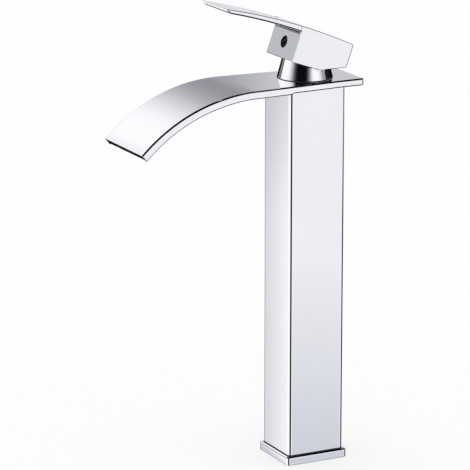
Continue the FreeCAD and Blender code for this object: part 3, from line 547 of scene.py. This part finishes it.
rounded(bm, list(mouth.edges), mouth_ease, 2)
rounded(bm, sharp_edges(bm, rear_corner), plate_corner, 8)
rounded(bm, sharp_edges(bm, lambda edge: depth_of(middle_of(edge)) < touching), top_ease, 8)
rounded(bm, sharp_edges(bm, under_edge), under_ease, 6)
bmesh.ops.recalc_face_normals(bm, faces=bm.faces)
spout = make_piece("spout", bm, "faucet_body")

# the water channel is left open below and at the mouth
bm, mouth = bent_bar(half_back - spout_side, spout_roof, spout_thick + cut_below, thick_start,
                     front_stops, arch_angle + cut_ahead)
for face in bm.faces:
    face.material_index = 1
bmesh.ops.recalc_face_normals(bm, faces=bm.faces)
channel_cutter = make_piece("channel_cutter", bm)

bm = bmesh.new()
bmesh.ops.create_cone(bm, cap_ends=True, segments=96, radius1=neck_hole, radius2=neck_hole,
                      depth=neck_cut, matrix=Matrix.Translation((0, 0, plate_top)))
neck_cutter = make_piece("neck_cutter", bm)


def cut_away(piece, cutter):
    """Takes the cutter's shape out of a piece for good."""
    cut = piece.modifiers.new("cut", "BOOLEAN")
    cut.operation = "DIFFERENCE"
    cut.solver = "EXACT"
    cut.object = cutter
    shaped = piece.evaluated_get(bpy.context.evaluated_depsgraph_get())
    mesh = bpy.data.meshes.new_from_object(shaped)
    piece.modifiers.clear()
    piece.data = mesh
    bpy.data.objects.remove(cutter)


water_way = new_finish("water_channel", ((0.012, 0.012, 0.012), (0.035, 0.033, 0.03)),
                       mottle=(200, 4), roughness=(0.4, 0.7), wear=(300, 4),
                       relief=(0.0001, 0.5), grain=(500, 3))
for piece in (spout, channel_cutter, neck_cutter):
    piece.data.materials.append(chrome)
    piece.data.materials.append(water_way)
cut_away(spout, channel_cutter)
cut_away(spout, neck_cutter)
smooth(spout)
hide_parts("spout_plate")
finish_nodes(chrome, "spout_floor")

# ---------------------------------------------------------------- bonnet
# Thin brass cover spun to a cone, polished and chrome plated. It is pushed over the
# clamp ring's O-ring, hides the cartridge's nut and stands on a thin black rubber ring,
# which is painted shade: the dark line of the shadow gap at its foot.
bonnet_foot = 0.0188
bonnet_top = plate_top + 0.0153
bonnet_lean = radians(14.5)
bonnet_wall = 0.0012
bonnet_mouth = 0.0124
bonnet_ease = 0.0003
bonnet_shade_ring = 0.0003
bonnet_inside = bonnet_foot - bonnet_wall / cos(bonnet_lean)
bonnet_roof = bonnet_top - bonnet_wall


def closed_outline(bm, spots):
    """A closed outline beside the bonnet's axis, of (radius, height); returns its corners."""
    corners = [bm.verts.new((radius, 0, z)) for radius, z in spots]
    for start, end in zip(corners, corners[1:] + corners[:1]):
        bm.edges.new((start, end))
    return corners


def turned_round(bm):
    """The outline turned round the bonnet's axis."""
    bmesh.ops.spin(bm, geom=[*bm.verts, *bm.edges], cent=(0, 0, 0), axis=(0, 0, 1),
                   angle=2 * pi, steps=180, use_merge=True)


bm = bmesh.new()
corners = closed_outline(bm, [
    (bonnet_inside, plate_top + bonnet_shade_ring), (bonnet_foot, plate_top + bonnet_shade_ring),
    (bonnet_foot - (bonnet_top - plate_top) * tan(bonnet_lean), bonnet_top),
    (bonnet_mouth, bonnet_top), (bonnet_mouth, bonnet_roof),
    (bonnet_inside - (bonnet_roof - plate_top) * tan(bonnet_lean), bonnet_roof)])
rounded(bm, corners[1:4], bonnet_ease, 4, "VERTICES")
turned_round(bm)
bmesh.ops.remove_doubles(bm, verts=bm.verts, dist=1e-7)
bmesh.ops.recalc_face_normals(bm, faces=bm.faces)
bonnet = make_piece("bonnet_cover", bm, "faucet_body")
bonnet.data.materials.append(chrome)
smooth(bonnet, 30)
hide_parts("bonnet")

# painted shade: a thin black ring under the bonnet's foot, for the shadow gap there
bm = bmesh.new()
closed_outline(bm, [(bonnet_inside, plate_top), (bonnet_inside, plate_top + bonnet_shade_ring),
                    (bonnet_foot, plate_top + bonnet_shade_ring), (bonnet_foot, plate_top)])
turned_round(bm)
bmesh.ops.recalc_face_normals(bm, faces=bm.faces)
shade_ring = make_piece("bonnet_shade_ring", bm, "faucet_body")
shade_ring.data.materials.append(rubber)


# ---------------------------------------------------------------- cartridge
# The bought-in valve: moulded plastic foot and cup, two lapped ceramic discs, a carrier
# and a turning guide of white plastic, and rubber port seals.
def moulded(name, *tones):
    return new_finish(name, tones, mottle=(150, 4), roughness=(0.35, 0.5), wear=(500, 3),
                      relief=(0.00003, 0.2), grain=(1800, 2))


finish_nodes(moulded("grey_plastic", (0.20, 0.21, 0.22), (0.26, 0.27, 0.28)),
             "cartridge_base", "cartridge_housing")
finish_nodes(moulded("white_plastic", (0.72, 0.72, 0.69), (0.80, 0.80, 0.77)),
             "disc_carrier", "stem_guide")
finish_nodes(rubber, "seat_seals", "disc_seals")

ceramic = new_finish("lapped_ceramic", ((0.78, 0.77, 0.73), (0.88, 0.87, 0.84)),
                     mottle=(250, 3), roughness=(0.12, 0.25), wear=(600, 3),
                     relief=(0.00001, 0.2), grain=(2500, 2))
finish_nodes(ceramic, "fixed_disc", "moving_disc")

# ---------------------------------------------------------------- stem
# Square brass stem on a hardened steel pin. The lever's boss is pushed on its upper end.
finish_nodes(brass, "stem")
steel = new_finish("dark_steel", ((0.06, 0.06, 0.065), (0.13, 0.13, 0.14)),
                   mottle=(300, 4), roughness=(0.22, 0.4), wear=(500, 4),
                   relief=(0.00003, 0.3), grain=(900, 3), Metallic=1.0)
finish_nodes(steel, "stem_pin")

# ---------------------------------------------------------------- lever
# Zinc casting: a block hollowed over the bonnet and a crowned paddle, polished outside and
# chrome plated. A socket set screw in its front clamps it on the stem.
lever_pivot = Vector((0, 0, 0.273))
lever_raise = radians(19.5)
lever_front = 0.021
lever_rear = 0.0208
skirt_top = 0.0045
recess_radius = 0.0042
recess_depth = 0.003
recess_rise = 0.0114
strip_corners = 6
shell_corners = 40
lever_sharp = 0.6
crosswise = 0.02
paddle_end = 0.07
paddle_end_low = 0.0207
paddle_middle = 0.05
paddle_low = 0.0219
paddle_fall = 0.00005
widest_ease = 0.0016
paddle_ease = 0.001
rear_ease = 0.0009
side_ease = 0.0005
cross_ease = 0.0004
skirt_ease = 0.0002
flat_front = 0.999
closing = Matrix.Rotation(lever_raise, 3, "X")


def closed(spot):
    """Where a spot of the raised lever lies from the pivot when the lever is closed."""
    return closing @ (spot - lever_pivot)


bm = merged_copy("handle")
lever_half = max(v.co.x for v in bm.verts)


def on_shell(face):
    """True for a face of the lever's polished outer shell or of its screw's recess."""
    middle = closed(face.calc_center_median())
    if abs(middle.x) > lever_half - touching:
        return True
    if middle.y < recess_depth - lever_front and len(face.verts) < strip_corners:
        if abs(Vector((middle.x, middle.z - recess_rise)).length - recess_radius) < near:
            return True
    reach = max(abs(closed(v.co).x) for v in face.verts)
    return reach > lever_half - touching and len(face.verts) < shell_corners


def edge_radius(edge):
    """How far an outer edge of the lever is rounded: more at the paddle and the rear."""
    start, end = (closed(v.co) for v in edge.verts)
    middle = (start + end) / 2
    if abs(start.x - end.x) > crosswise:
        at_tip = middle.y < -paddle_end and middle.z < paddle_end_low
        return widest_ease if at_tip else cross_ease
    if abs(middle.y + lever_front) < near or middle.z < skirt_top:
        return skirt_ease
    if abs(middle.y - lever_rear) < near:
        return rear_ease
    low = paddle_low - paddle_fall * abs(middle.y + paddle_middle)
    return paddle_ease if middle.y < -lever_front and middle.z < low else side_ease


weights = bm.edges.layers.float.new("bevel_weight_edge")
for edge in sharp_edges(bm, lambda edge: all(on_shell(f) for f in edge.link_faces),
                        lever_sharp):
    edge[weights] = edge_radius(edge) / widest_ease
# faces off the polished shell are unpolished zinc, painted near black as the shade in the lever's
# hollow
for face in bm.faces:
    face.material_index = 0 if on_shell(face) else 1
lever = make_piece("lever", bm, "lever")
shaded_cast_zinc = new_finish("cast_zinc_painted_shade", ((0.010, 0.010, 0.011), (0.03, 0.03, 0.032)),
                     mottle=(220, 4), roughness=(0.45, 0.7), wear=(400, 4),
                     relief=(0.0002, 0.5), grain=(900, 4), Metallic=0.3)
lever.data.materials.append(chrome)
lever.data.materials.append(shaded_cast_zinc)
eased = lever.modifiers.new("eased_edges", "BEVEL")
eased.limit_method = "WEIGHT"
eased.width = widest_ease
eased.segments = 4
eased.use_clamp_overlap = False
smooth(lever)
for face in lever.data.polygons:
    if (closing @ face.normal).y < -flat_front:
        face.use_smooth = False
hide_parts("handle")
finish_nodes(zinc, "handle_set_screw")

# ---------------------------------------------------------------- fixing below the deck
# Zinc plated M8 stud, and a horseshoe rubber and plate that a nut draws up under the
# deck.
finish_nodes(zinc, "fixing_stud", "horseshoe_plate", "fixing_nut")
finish_nodes(rubber, "horseshoe_gasket")
